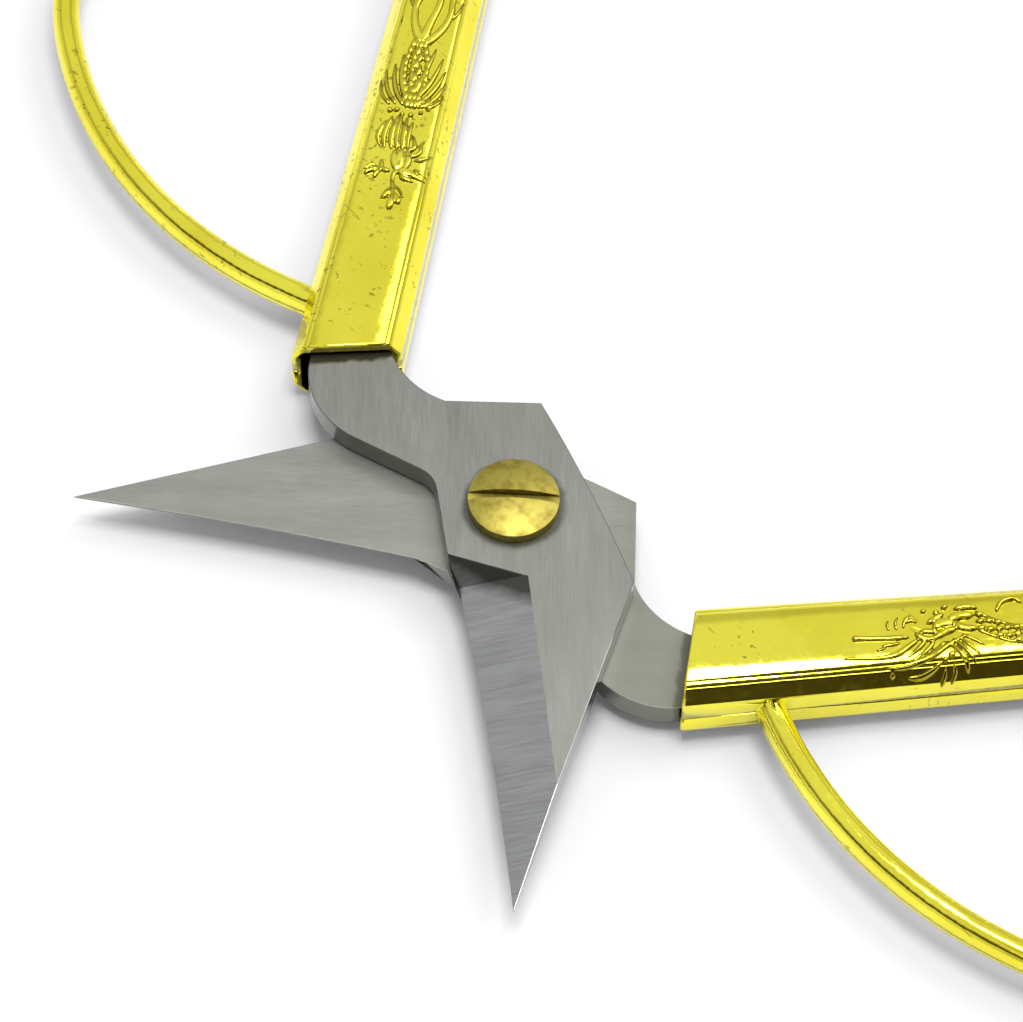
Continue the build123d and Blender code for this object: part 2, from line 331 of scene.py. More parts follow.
def steel(name, turn, over, painted_sheen, neck_shade):
    """One half's steel. Turn takes it back to its closed place, and its painted sheen lightens it.

    The outer side is up where over is 1, and down where it is -1.
    """
    material = bpy.data.materials.new(name)
    material.use_nodes = True
    nodes, links = material.node_tree.nodes, material.node_tree.links
    shader = nodes["Principled BSDF"]
    shader.inputs["Metallic"].default_value = 1.0
    place = nodes.new("ShaderNodeTexCoord")
    lay = nodes.new("ShaderNodeMapping")
    lay.inputs["Rotation"].default_value = (0, 0, turn)
    links.new(place.outputs["Object"], lay.inputs["Vector"])
    finish = nodes.new("ShaderNodeGroup")
    finish.node_tree = satin
    links.new(lay.outputs["Vector"], finish.inputs["Closed Place"])
    for title, value in (("Outer Side", over), ("Gain", painted_sheen), ("Neck Shade", neck_shade)):
        finish.inputs[title].default_value = value
    links.new(finish.outputs["Colour"], shader.inputs["Base Color"])
    links.new(finish.outputs["Roughness"], shader.inputs["Roughness"])
    bump = nodes.new("ShaderNodeBump")
    bump.inputs["Strength"].default_value = scratch_strength
    bump.inputs["Distance"].default_value = scratch_depth
    links.new(finish.outputs["Scratches"], bump.inputs["Height"])
    links.new(bump.outputs["Normal"], shader.inputs["Normal"])
    return material


merge_distance = 0.001 * MM


def merged_copy(node, name):
    """A copy of a node's mesh, with its corner points run together, to work on."""
    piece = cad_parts[node].copy()
    piece.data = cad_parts[node].data.copy()
    piece.name = piece.data.name = name
    bpy.context.collection.objects.link(piece)
    bpy.ops.object.select_all(action="DESELECT")
    piece.select_set(True)
    bpy.context.view_layer.objects.active = piece
    bpy.ops.object.mode_set(mode="EDIT")
    bpy.ops.mesh.select_all(action="SELECT")
    bpy.ops.mesh.remove_doubles(threshold=merge_distance)
    bpy.ops.object.mode_set(mode="OBJECT")
    return piece


tumbled_edge, tumbled_steps = 0.07 * MM, 2
joined_below, stamped_above = math.radians(0.05), math.radians(28)
smooth_below, ridge_above = math.radians(20), math.radians(6)
# The lower neck is painted darker towards the handle, painted shade.
for node, half, material in (
    ("upper_blade", "upper_half", steel("upper_steel", -half_opening, 1, 1.0, 0)),
    # The lower half is painted lighter all over, a painted sheen.
    ("lower_blade", "lower_half", steel("lower_steel", half_opening, -1, 1.18, 0.6)),
):
    # Tumbling has broken the stamped edges by less than a tenth of a millimetre.
    blank = merged_copy(node, node.replace("blade", "steel_blank"))
    bpy.ops.object.mode_set(mode="EDIT")
    bpy.ops.mesh.dissolve_limited(angle_limit=joined_below)
    bpy.ops.object.mode_set(mode="OBJECT")
    tumbled = blank.modifiers.new("tumbled", "BEVEL")
    tumbled.width, tumbled.segments = tumbled_edge, tumbled_steps
    tumbled.limit_method, tumbled.angle_limit = "ANGLE", stamped_above
    bpy.ops.object.modifier_apply(modifier=tumbled.name)
    bpy.ops.object.shade_smooth_by_angle(angle=smooth_below)
    # The ridges between the faces stay crisp, though they are shallow.
    corners = bmesh.new()
    corners.from_mesh(blank.data)
    for edge in corners.edges:
        between_faces = all(abs(face.normal.z) > 0.5 for face in edge.link_faces)
        if between_faces and edge.calc_face_angle() > ridge_above:
            edge.smooth = False
    corners.to_mesh(blank.data)
    corners.free()
    even = blank.modifiers.new("even", "WEIGHTED_NORMAL")
    even.keep_sharp, even.weight = True, 100
    bpy.ops.object.modifier_apply(modifier=even.name)
    blank.data.materials.clear()
    blank.data.materials.append(material)
    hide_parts(node)
    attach(blank, half)

# The pivot screw and its rear nut: turned brass, gone slightly brown. The lathe
# left fine rings on both, and handling left small dull pits.
brass_brown, brass_light = (0.27, 0.215, 0.040, 1), (0.40, 0.34, 0.070, 1)
slot_shade_colour, slot_reach = (0.045, 0.035, 0.010, 1), 0.9 * MM
ring_depth, pit_depth = 0.02 * MM, 0.03 * MM
brass = bpy.data.materials.new("turned_brass")
brass.use_nodes = True
nodes, links = brass.node_tree.nodes, brass.node_tree.links
shader = nodes["Principled BSDF"]
shader.inputs["Metallic"].default_value = 1.0
brass_place = nodes.new("ShaderNodeTexCoord")
rings = nodes.new("ShaderNodeTexWave")
rings.wave_type = "RINGS"
rings.rings_direction = "Z"
rings.inputs["Scale"].default_value = 900
rings.inputs["Distortion"].default_value = 1.2
rings.inputs["Detail"].default_value = 2
links.new(brass_place.outputs["Object"], rings.inputs["Vector"])
browning = nodes.new("ShaderNodeTexNoise")
browning.inputs["Scale"].default_value = 900
browning.inputs["Detail"].default_value = 6
links.new(brass_place.outputs["Object"], browning.inputs["Vector"])
tone = nodes.new("ShaderNodeValToRGB")
tone.color_ramp.elements[0].position = 0.34
tone.color_ramp.elements[0].color = brass_brown
tone.color_ramp.elements[1].position = 0.56
tone.color_ramp.elements[1].color = brass_light
links.new(browning.outputs["Fac"], tone.inputs["Fac"])
# Painted shade, drawn from occlusion, darkens the slot.
nook = nodes.new("ShaderNodeAmbientOcclusion")
nook.only_local = True
nook.inputs["Distance"].default_value = slot_reach
slot_shade = nodes.new("ShaderNodeMapRange")
slot_shade.inputs["From Min"].default_value = 0.45
slot_shade.inputs["From Max"].default_value = 0.90
slot_shade.inputs["To Min"].default_value = 0.88
slot_shade.inputs["To Max"].default_value = 0
links.new(nook.outputs["AO"], slot_shade.inputs["Value"])
slot_shaded = nodes.new("ShaderNodeMixRGB")
slot_shaded.inputs["Color2"].default_value = slot_shade_colour
links.new(slot_shade.outputs["Result"], slot_shaded.inputs["Fac"])
links.new(tone.outputs["Color"], slot_shaded.inputs["Color1"])
links.new(slot_shaded.outputs["Color"], shader.inputs["Base Color"])
worn = nodes.new("ShaderNodeMapRange")
worn.inputs["To Min"].default_value = 0.56
worn.inputs["To Max"].default_value = 0.42
links.new(browning.outputs["Fac"], worn.inputs["Value"])
links.new(worn.outputs["Result"], shader.inputs["Roughness"])
bump = nodes.new("ShaderNodeBump")
bump.inputs["Strength"].default_value = 0.10
bump.inputs["Distance"].default_value = ring_depth
links.new(rings.outputs["Fac"], bump.inputs["Height"])
pits = nodes.new("ShaderNodeBump")
pits.inputs["Strength"].default_value = 0.18
pits.inputs["Distance"].default_value = pit_depth
links.new(browning.outputs["Fac"], pits.inputs["Height"])
links.new(bump.outputs["Normal"], pits.inputs["Normal"])
links.new(pits.outputs["Normal"], shader.inputs["Normal"])
for node in ("pivot_screw", "pivot_nut"):
    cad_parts[node].data.materials.clear()
    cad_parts[node].data.materials.append(brass)

# The handles: zinc shells, glued along the plane of the blades' faces and plated
# to a lemon-gold mirror. The plating shows the casting's slight waviness, the
# glued seam, short scratches and worn brown specks. Lengths are in mm.
bar_lean, bar_length = math.radians(9.6), 68.0
mouth_middle = Vector((-16.6, 18.3, 0))
peg_along = 17.0
bar_half, bar_end_half = 5.55, 4.4
shoulder_inset, shoulder_drop = 1.3, 1.9
edge_allowance = 0.2
crown_width, crown_tilt = 2.5, 0.41
shoulder_crown = 0.02
seam_half, seam_edge, seam_depth = 0.02, 0.10, 0.05
wave_depth, ripple_depth = 0.3, 0.04
gold_deep, gold_pale = (0.86, 0.76, 0.050, 1), (0.97, 0.90, 0.085, 1)
worn_colour, scratch_colour = (0.33, 0.26, 0.040, 1), (0.42, 0.34, 0.045, 1)
hollow_shade_colour, seam_colour = (0.20, 0.150, 0.014, 1), (0.45, 0.37, 0.035, 1)
plain_metal = (0.62, 0.62, 0.63, 1)
skews = {"upper_half": math.radians(1.5), "lower_half": math.radians(-0.6)}
turns = {"upper_half": half_opening, "lower_half": -half_opening}


def bar_axis(body):
    """A point of the bar's axis, in mm, and the way across the bar."""
    across_way = Vector((1, 0, 0))
    across_way.rotate(Matrix.Rotation(-bar_lean - skews[body], 3, "Z"))
    peg = Vector((0, peg_along, 0))
    peg.rotate(Matrix.Rotation(-bar_lean, 3, "Z"))
    peg += mouth_middle
    for line in (across_way, peg):
        if turns[body] < 0:
            line.x = -line.x
        line.rotate(Matrix.Rotation(turns[body], 3, "Z"))
    return peg, across_way


def lemon_plate():
    """The plating of the relief and, with the seam and the crowns, of the castings."""
    takes = [("Place", "Vector"), ("Speck Start", "Float"), ("Patch Start", "Float"), ("Hollow", "Float")]
    takes += [("Across", "Vector"), ("Middle", "Float")]
    gives = [("Colour", "Color"), ("Normal", "Vector"), ("Roughness", "Float")]
    gives += [("Cast Colour", "Color"), ("Cast Normal", "Vector")]
    group, given, made = new_group("lemon_plate", takes, gives)
    nodes, links = group.nodes, group.links

    def noise(scale, detail, stretch=(1, 1, 1)):
        lay = nodes.new("ShaderNodeMapping")
        lay.inputs["Scale"].default_value = stretch
        links.new(given["Place"], lay.inputs["Vector"])
        texture = nodes.new("ShaderNodeTexNoise")
        texture.inputs["Scale"].default_value = scale
        texture.inputs["Detail"].default_value = detail
        links.new(lay.outputs["Vector"], texture.inputs["Vector"])
        return texture.outputs["Fac"]

    def span(value, low, high, start, end):
        fade = nodes.new("ShaderNodeMapRange")
        fade.inputs["From Min"].default_value, fade.inputs["From Max"].default_value = low, high
        fade.inputs["To Min"].default_value, fade.inputs["To Max"].default_value = start, end
        links.new(value, fade.inputs["Value"])
        return fade.outputs["Result"]

    def past(value, start, width, most):
        """Up from none at the start, an input of the group, to the most past the width."""
        beyond = nodes.new("ShaderNodeMath")
        beyond.operation = "SUBTRACT"
        links.new(value, beyond.inputs[0])
        links.new(given[start], beyond.inputs[1])
        return span(beyond.outputs[0], 0, width, 0, most)

    def tint(mask, base, over):
        mix = nodes.new("ShaderNodeMixRGB")
        links.new(mask, mix.inputs["Fac"])
        for socket, value in ((mix.inputs["Color1"], base), (mix.inputs["Color2"], over)):
            if isinstance(value, tuple):
                socket.default_value = value
            else:
                links.new(value, socket)
        return mix.outputs["Color"]

    def product(first, second):
        maths = nodes.new("ShaderNodeMath")
        maths.operation = "MULTIPLY"
        links.new(first, maths.inputs[0])
        links.new(second, maths.inputs[1])
        return maths.outputs[0]

    def raised(height, strength, distance, under=None):
        bump = nodes.new("ShaderNodeBump")
        bump.inputs["Strength"].default_value = strength
        bump.inputs["Distance"].default_value = distance
        links.new(height, bump.inputs["Height"])
        if under is not None:
            links.new(under, bump.inputs["Normal"])
        return bump.outputs["Normal"]

    # The gold goes from deep to pale in slow clouds, with worn specks in patches
    # and short scratches.
    gold = tint(span(noise(70, 3), 0.35, 0.65, 0, 1), gold_deep, gold_pale)
    speck = noise(1500, 3)
    worn = product(past(speck, "Speck Start", 0.05, 0.75), past(noise(170, 2), "Patch Start", 0.10, 1))
    hairlines = span(noise(420, 1, (1, 9, 1)), 0.70, 0.73, 0, 0.6)
    scratch = product(hairlines, span(noise(130, 1), 0.50, 0.60, 0, 1))
    gold = tint(worn, gold, worn_colour)
    gold = tint(scratch, gold, scratch_colour)
    # The casting's slow waves show, and finer ripples on them.
    normal = raised(noise(230, 2), 0.35, wave_depth * MM)
    normal = raised(noise(1100, 3), 0.06, ripple_depth * MM, normal)
    # On the relief, painted shade browns the hollows.
    links.new(tint(given["Hollow"], gold, hollow_shade_colour), made["Colour"])
    links.new(normal, made["Normal"])
    links.new(span(speck, 0.35, 0.70, 0.06, 0.15), made["Roughness"])

    # The glued seam lies at the height of the pivot's middle plane.
    split = nodes.new("ShaderNodeSeparateXYZ")
    links.new(given["Place"], split.inputs["Vector"])
    above = nodes.new("ShaderNodeMath")
    above.operation = "SUBTRACT"
    above.inputs[1].default_value = pivot_height
    links.new(split.outputs["Z"], above.inputs[0])
    away = nodes.new("ShaderNodeMath")
    away.operation = "ABSOLUTE"
    links.new(above.outputs[0], away.inputs[0])
    plain = span(away.outputs[0], seam_half * MM, seam_edge * MM, 0, 1)

    # The panels are slightly crowned towards both long edges, and so are the
    # shoulders.
    across = nodes.new("ShaderNodeVectorMath")
    across.operation = "DOT_PRODUCT"
    links.new(given["Place"], across.inputs[0])
    links.new(given["Across"], across.inputs[1])
    aside = nodes.new("ShaderNodeMath")
    aside.operation = "SUBTRACT"
    links.new(across.outputs["Value"], aside.inputs[0])
    links.new(given["Middle"], aside.inputs[1])
    outward = nodes.new("ShaderNodeMath")
    outward.operation = "ABSOLUTE"
    links.new(aside.outputs[0], outward.inputs[0])
    panel_edge = (bar_half + bar_end_half) / 2 + edge_allowance - shoulder_inset
    crown_start, shoulder_end = panel_edge - crown_width, panel_edge + shoulder_inset
    reach = span(outward.outputs[0], crown_start * MM, panel_edge * MM, 0, 1)
    crown = span(product(reach, reach), 0, 1, 0, -0.5 * crown_tilt * crown_width)
    normal = raised(crown, 1.0, MM, normal)
    middle = span(outward.outputs[0], panel_edge * MM, shoulder_end * MM, -1, 1)
    rounding = span(product(middle, middle), 0, 1, 0, -shoulder_crown)
    normal = raised(rounding, 1.0, MM, normal)
    links.new(tint(plain, seam_colour, gold), made["Cast Colour"])
    links.new(raised(plain, 0.6, seam_depth * MM, normal), made["Cast Normal"])
    return group


plate = lemon_plate()
# The upper handle is the more worn of the two.
wear_starts = {"upper_half": (0.60, 0.46), "lower_half": (0.66, 0.54)}


def plating(name, body, recessed):
    """Lemon-gold plate. On the relief, painted shade browns the hollows between strokes."""
    material = bpy.data.materials.new(name)
    material.use_nodes = True
    nodes, links = material.node_tree.nodes, material.node_tree.links
    shader = nodes["Principled BSDF"]
    shader.inputs["Metallic"].default_value = 1.0
    place = nodes.new("ShaderNodeTexCoord")
    finish = nodes.new("ShaderNodeGroup")
    finish.node_tree = plate
    links.new(place.outputs["Object"], finish.inputs["Place"])
    peg, across_way = bar_axis(body)
    finish.inputs["Across"].default_value = across_way
    finish.inputs["Middle"].default_value = peg.dot(across_way) * MM
    speck_start, patch_start = wear_starts[body]
    finish.inputs["Speck Start"].default_value = speck_start
    finish.inputs["Patch Start"].default_value = patch_start
    if recessed:
        height = nodes.new("ShaderNodeAttribute")
        height.attribute_name = "stroke_height"
        hollow_shade = nodes.new("ShaderNodeMapRange")
        hollow_shade.inputs["From Min"].default_value, hollow_shade.inputs["From Max"].default_value = 0.06, 0.46
        hollow_shade.inputs["To Min"].default_value, hollow_shade.inputs["To Max"].default_value = 0.92, 0
        links.new(height.outputs["Fac"], hollow_shade.inputs["Value"])
        links.new(hollow_shade.outputs["Result"], finish.inputs["Hollow"])
    # The table sees the plating as plain metal, so the shadows stay grey.
    rays = nodes.new("ShaderNodeLightPath")
    seen = nodes.new("ShaderNodeMixRGB")
    seen.inputs["Color2"].default_value = plain_metal
    links.new(rays.outputs["Is Diffuse Ray"], seen.inputs["Fac"])
    links.new(finish.outputs["Colour" if recessed else "Cast Colour"], seen.inputs["Color1"])
    links.new(seen.outputs["Color"], shader.inputs["Base Color"])
    links.new(finish.outputs["Roughness"], shader.inputs["Roughness"])
    links.new(finish.outputs["Normal" if recessed else "Cast Normal"], shader.inputs["Normal"])
    return material


# Each casting is drawn from its solid shell, with the facets of its roundings
# and of the bow smoothed. The solid's plain winding band is sunk into the panel,
# where the carved relief takes its place.
panel_height = 4.2
bar_margin = 0.1
casting_smooth_below = math.radians(52)
for half, shells in (
    ("upper_half", ("upper_handle_front_shell", "upper_handle_back_shell")),
    ("lower_half", ("lower_handle_front_shell", "lower_handle_back_shell")),
):
    gilt = plating(half + "_gilt", half, False)
    peg, across_way = bar_axis(half)
    for node in shells:
        cast = merged_copy(node, node.replace("shell", "casting"))
        bar = cast.vertex_groups.new(name="bar")
        for vertex in cast.data.vertices:
            if abs((vertex.co - peg * MM).dot(across_way)) < (bar_half + bar_margin) * MM:
                bar.add([vertex.index], 1, "REPLACE")
            rise = vertex.co.z - pivot_height
            if abs(rise) > panel_height * MM:
                vertex.co.z = pivot_height + math.copysign(panel_height * MM, rise)
        bpy.ops.object.shade_smooth_by_angle(angle=casting_smooth_below)
        even = cast.modifiers.new("even", "WEIGHTED_NORMAL")
        even.keep_sharp, even.weight = True, 80
        even.vertex_group = bar.name
        bpy.ops.object.modifier_apply(modifier=even.name)
        cast.data.materials.clear()
        cast.data.materials.append(gilt)
        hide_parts(node)
        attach(cast, half)

# The relief: a phoenix on one face of each handle and a dragon on the other,
# cast in one with the shells and plated with them. Each is carved here from
# tapered strokes, sunk into the panel and run together.
relief_gilt = plating("relief_gilt", "upper_half", True)
boldness = 1.18
shown_rise, resting_rise = 0.55, 0.39

# A stroke's points are given in mm: across the bar, along it from the mouth, and
# the stroke's half width.
phoenix = [
    # plume on the brow, its three lobes and stalk
    [(0.7, 18.1, .34), (0.8, 18.7, .42), (0.7, 19.4, .30)],
    [(1.6, 18.9, .30), (1.3, 19.4, .34), (0.9, 20.0, .22)],
    [(-0.1, 19.3, .26), (0.1, 19.8, .30), (0.5, 20.4, .20)],
    [(-0.4, 19.0, .10), (-0.1, 20.0, .16), (0.4, 20.7, .14)],
    [(1.9, 19.6, .10), (1.5, 20.4, .16), (0.9, 21.0, .14)],
    [(0.7, 19.6, .24), (0.6, 20.8, .22), (0.3, 21.8, .22), (0.4, 22.9, .30)],
    # beak and its lower half
    [(1.1, 22.9, .55), (1.9, 22.8, .42), (2.8, 22.5, .30), (3.9, 22.0, .10)],
    [(1.2, 22.2, .30), (1.9, 22.0, .24), (2.5, 21.8, .12)],
    [(2.4, 23.4, .20), (3.2, 23.1, .18), (4.0, 22.5, .08)],
    # head, eye ring and cheek
    [(0.5, 23.2, .36), (0.0, 24.2, .40), (-0.1, 25.4, .30)],
    [(0.7, 23.4, .45), (0.6, 24.6, .45), (0.5, 25.6, .34)],
    [(1.3, 23.4, .34), (1.6, 24.4, .38), (1.2, 25.5, .30)],
    [(0.5, 24.0, .16), (0.7, 24.45, .18), (1.1, 24.45, .18),
     (1.4, 24.1, .16), (1.0, 23.75, .16), (0.5, 24.0, .14)],
    [(0.95, 24.05, .22), (0.95, 24.10, .22)],
    [(1.5, 25.2, .28), (2.2, 25.2, .24), (2.6, 25.9, .22), (2.4, 26.7, .20), (2.7, 27.3, .12)],
    [(1.3, 25.8, .28), (1.9, 26.2, .26), (1.7, 27.0, .22), (1.4, 27.8, .12)],
    [(2.3, 24.6, .22), (3.1, 24.9, .30), (3.9, 25.6, .16)],
    # comb of small leaves
    [(-0.3, 22.8, .26), (-0.9, 22.9, .24), (-1.5, 23.0, .18)],
    [(-0.9, 22.9, .20), (-1.2, 23.5, .28), (-1.3, 24.1, .16)],
    [(-1.2, 22.8, .20), (-1.5, 22.2, .30), (-1.6, 21.7, .18)],
    [(-1.5, 22.9, .22), (-2.2, 22.6, .32), (-2.7, 22.0, .16)],
    [(-1.7, 23.2, .16), (-2.2, 23.4, .20), (-2.9, 22.6, .10)],
    # neck feathers
    [(-1.9, 26.0, .12), (-2.4, 27.0, .26), (-2.2, 28.2, .28), (-1.8, 29.2, .20)],
    [(-1.3, 25.8, .16), (-1.7, 27.0, .28), (-1.6, 28.4, .30), (-1.3, 29.9, .20)],
    [(-0.6, 25.8, .20), (-0.9, 27.0, .28), (-0.9, 28.4, .28), (-0.7, 30.1, .18)],
    [(0.0, 25.9, .22), (-0.3, 27.0, .28), (-0.4, 28.4, .28), (-0.3, 30.2, .18)],
    [(0.6, 25.9, .22), (0.4, 27.0, .28), (0.3, 28.4, .28), (0.3, 30.0, .18)],
    [(1.1, 26.0, .18), (0.9, 27.2, .26), (0.9, 28.6, .24), (1.0, 29.6, .14)],
    # collar of beads
    [(-1.8, 30.7, .30), (-1.7, 30.8, .30)], [(-1.1, 30.9, .30), (-1.0, 31.0, .30)],
    [(-0.4, 30.5, .26), (-0.3, 30.5, .26)], [(0.5, 30.5, .32), (0.6, 30.5, .32)],
    [(1.5, 30.9, .26), (1.6, 31.0, .26)], [(2.3, 31.5, .22), (2.3, 31.6, .22)],
    # wing on the left: long fans of feathers
    [(-0.6, 31.8, .22), (-1.6, 33.2, .26), (-2.2, 35.0, .24), (-2.4, 37.0, .14)],
    [(-0.3, 32.4, .22), (-1.1, 34.0, .28), (-1.6, 36.0, .26), (-1.8, 38.4, .14)],
    [(-1.4, 31.8, .20), (-2.4, 33.0, .24), (-3.0, 34.6, .22), (-3.2, 36.2, .12)],
    [(-2.0, 31.6, .18), (-2.9, 32.4, .20), (-3.4, 33.6, .18), (-3.5, 34.8, .10)],
    # wing on the right
    [(0.8, 31.8, .24), (1.8, 33.0, .28), (2.6, 34.8, .26), (3.1, 37.0, .14)],
    [(0.6, 32.6, .24), (1.5, 34.2, .28), (2.1, 36.2, .26), (2.5, 38.6, .14)],
    [(1.2, 31.6, .20), (2.3, 32.4, .26), (3.1, 33.9, .24), (3.4, 35.6, .12)],
    [(1.6, 31.8, .16), (2.6, 31.9, .20), (3.3, 32.8, .18), (3.5, 33.8, .10)],
    [(0.2, 33.0, .22), (0.8, 35.4, .26), (1.2, 37.6, .24), (1.5, 39.8, .14)],
    [(-0.2, 33.2, .22), (-0.4, 35.6, .26), (-0.6, 37.8, .24), (-0.6, 40.0, .14)],
    # tail plumes that sway to the bar's end, each with an eye
    [(-0.5, 40.6, .50), (-1.6, 43.0, .40), (-1.9, 45.4, .34),
     (-1.0, 47.6, .32), (-1.2, 50.0, .42), (-1.9, 51.6, .20)],
    [(-0.2, 40.6, .50), (0.2, 43.4, .40), (0.8, 46.0, .36), (0.4, 49.0, .34),
     (-0.3, 52.0, .34), (0.3, 55.0, .50), (0.2, 56.8, .22)],
    [(0.2, 40.2, .45), (1.6, 42.2, .38), (2.2, 44.6, .34),
     (1.9, 47.0, .32), (2.3, 49.4, .42), (2.4, 51.0, .18)],
    [(-1.4, 44.4, .16), (-2.4, 45.6, .22), (-2.8, 47.2, .12)],
    [(-1.6, 46.2, .14), (-2.5, 47.8, .20), (-2.6, 49.2, .10)],
    [(2.2, 43.8, .16), (3.0, 45.2, .20), (3.1, 46.8, .10)],
    [(0.9, 46.8, .16), (1.5, 48.6, .20), (1.4, 50.2, .10)],
    [(-0.2, 50.6, .16), (-1.0, 52.4, .22), (-1.3, 54.4, .10)],
    [(0.0, 52.4, .16), (1.0, 53.6, .20), (1.5, 55.4, .10)],
]
dragon = [
    # feeler with its knob
    [(-0.45, 16.25, .34), (-0.5, 16.6, .26), (-0.65, 18.6, .24), (-0.75, 21.4, .26)],
    [(-0.75, 16.15, .14), (-0.2, 16.2, .16)],
    # breath and small flames beside it
    [(-2.65, 14.9, .14), (-2.75, 16.8, .20), (-2.9, 18.8, .24),
     (-2.6, 20.3, .34), (-1.8, 21.4, .26), (-1.2, 22.3, .24)],
    [(-1.5, 18.9, .14), (-1.5, 19.8, .20), (-1.3, 20.6, .12)], [(-2.0, 18.2, .12), (-1.8, 19.0, .16)],
    [(0.2, 19.7, .12), (0.9, 19.6, .16), (1.3, 19.8, .10)],
    [(0.2, 20.5, .12), (1.0, 20.4, .18), (1.6, 20.8, .10)],
    [(0.4, 21.2, .14), (1.2, 21.4, .20), (1.7, 22.0, .12)],
    [(0.9, 22.5, .16), (1.2, 22.0, .18), (0.9, 21.5, .12)],
    # snout, teeth and jaw
    [(-0.5, 22.4, .30), (-0.95, 22.8, .30), (-1.2, 23.5, .26), (-1.0, 24.3, .30)],
    [(-0.2, 22.9, .24), (-0.25, 23.6, .26), (-0.45, 24.4, .20)],
    [(0.1, 24.3, .40), (0.6, 25.0, .50), (0.4, 25.9, .45)],
    [(-0.9, 24.4, .34), (-0.4, 25.3, .34), (-0.2, 26.2, .30)],
    [(0.3, 26.4, .34), (-0.2, 27.1, .34), (-0.3, 28.2, .30)],
    [(0.7, 23.7, .26), (1.1, 24.3, .30), (1.5, 25.2, .24)],
    # brow, eye and crest
    [(0.9, 25.9, .40), (1.3, 26.8, .44), (1.2, 27.9, .40)], [(1.1, 26.9, .24), (1.1, 27.0, .24)],
    [(2.05, 23.3, .26), (2.1, 23.5, .26)], [(1.8, 24.5, .26), (1.85, 24.7, .26)],
    [(2.35, 25.4, .28), (2.4, 25.7, .28)],
    [(2.1, 26.6, .26), (2.3, 27.6, .32), (2.0, 28.6, .22)],
    # long mane strands that sweep over the bar's shoulder
    [(-4.0, 18.9, .14), (-4.0, 20.8, .24), (-3.6, 22.4, .28),
     (-2.9, 24.0, .28), (-2.0, 25.2, .24), (-1.3, 26.4, .16)],
    [(-3.6, 21.2, .12), (-3.1, 22.2, .20), (-2.3, 23.3, .24), (-1.4, 24.0, .20)],
    [(-3.0, 21.2, .12), (-2.4, 22.0, .20), (-1.7, 22.8, .24), (-1.1, 23.2, .18)],
    [(-2.9, 23.2, .12), (-2.3, 24.2, .20), (-1.6, 25.0, .20)],
    [(-2.4, 24.7, .14), (-1.7, 25.6, .20), (-1.0, 27.2, .14)],
    [(-4.5, 27.0, .22), (-3.5, 26.8, .26), (-2.6, 26.2, .24), (-1.6, 25.4, .16)],
    [(-4.0, 27.7, .16), (-3.0, 27.3, .22), (-2.1, 26.6, .22), (-1.3, 25.9, .14)],
    [(-3.2, 28.3, .14), (-2.3, 27.6, .20), (-1.5, 26.8, .18)],
    [(-2.2, 28.8, .14), (-1.5, 27.9, .20), (-0.9, 26.9, .16)],
    # claws over the shoulder
    [(-4.7, 21.0, .10), (-4.8, 22.2, .20), (-4.4, 23.4, .22), (-3.8, 24.4, .16)],
    [(-5.3, 24.3, .14), (-4.8, 24.7, .20), (-4.2, 24.8, .14)],
    [(-5.2, 25.3, .14), (-4.6, 25.8, .20), (-4.0, 25.6, .14)],
    [(-3.6, 24.7, .26), (-3.5, 24.9, .26)], [(-3.2, 25.4, .34), (-2.9, 25.6, .34)],
    [(-4.5, 19.4, .22), (-4.5, 19.6, .22)],
    # legs, claws and flames beside the body
    [(-1.6, 32.4, .36), (-2.9, 33.2, .30), (-3.2, 34.8, .22), (-2.6, 36.0, .12)],
    [(-3.1, 34.2, .16), (-3.9, 34.9, .12)], [(-3.1, 34.9, .14), (-3.7, 36.0, .10)],
    [(1.6, 38.2, .36), (2.8, 37.6, .30), (3.2, 36.0, .22), (2.7, 34.9, .12)],
    [(3.1, 36.6, .16), (3.8, 35.9, .10)], [(3.1, 35.8, .14), (3.5, 34.8, .10)],
    [(-1.4, 46.2, .34), (-2.6, 47.2, .28), (-2.9, 48.8, .20), (-2.4, 50.0, .12)],
    [(-2.9, 48.2, .14), (-3.4, 49.2, .10)],
    [(1.5, 30.6, .20), (2.6, 31.2, .28), (2.9, 32.6, .20), (2.2, 33.2, .12)],
    [(2.4, 40.6, .20), (3.0, 41.8, .26), (2.5, 43.2, .16)],
    [(-2.4, 40.0, .20), (-3.1, 41.2, .26), (-2.6, 42.8, .16)],
    [(2.0, 46.6, .18), (2.7, 47.8, .24), (2.1, 49.2, .14)],
    [(-1.0, 37.8, .18), (-2.0, 38.6, .22), (-2.2, 37.6, .14)],
]
feather_rows, breast_start, feather_pitch = 11, 31.7, 0.9
for row in range(feather_rows):
    # the phoenix's breast and back: rows of short laid feathers
    along = breast_start + feather_pitch * row
    spread = 1.5 * math.sin(math.pi * (0.12 + 0.78 * row / 10))
    count = 3 + row % 2
    for feather in range(count):
        across = 0.3 - 0.08 * row + spread * (2 * feather / (count - 1) - 1) * 0.8
        tip = (across * 0.96, along + 1.1, .12)
        phoenix.append([(across, along - 0.2, .20), (across, along + 0.3, .32), tip])

scale_rows, body_start, body_length = 34, 28.6, 28.2
body_girth, girth_loss = 1.05, 0.85
coil_start, coil_length, coil_swing = 36.1, 13.4, 1.3


def coil(along):
    """How far the dragon's body swings to the side at a place along the bar."""
    return coil_swing * math.sin((along - coil_start) / coil_length * 2 * math.pi)


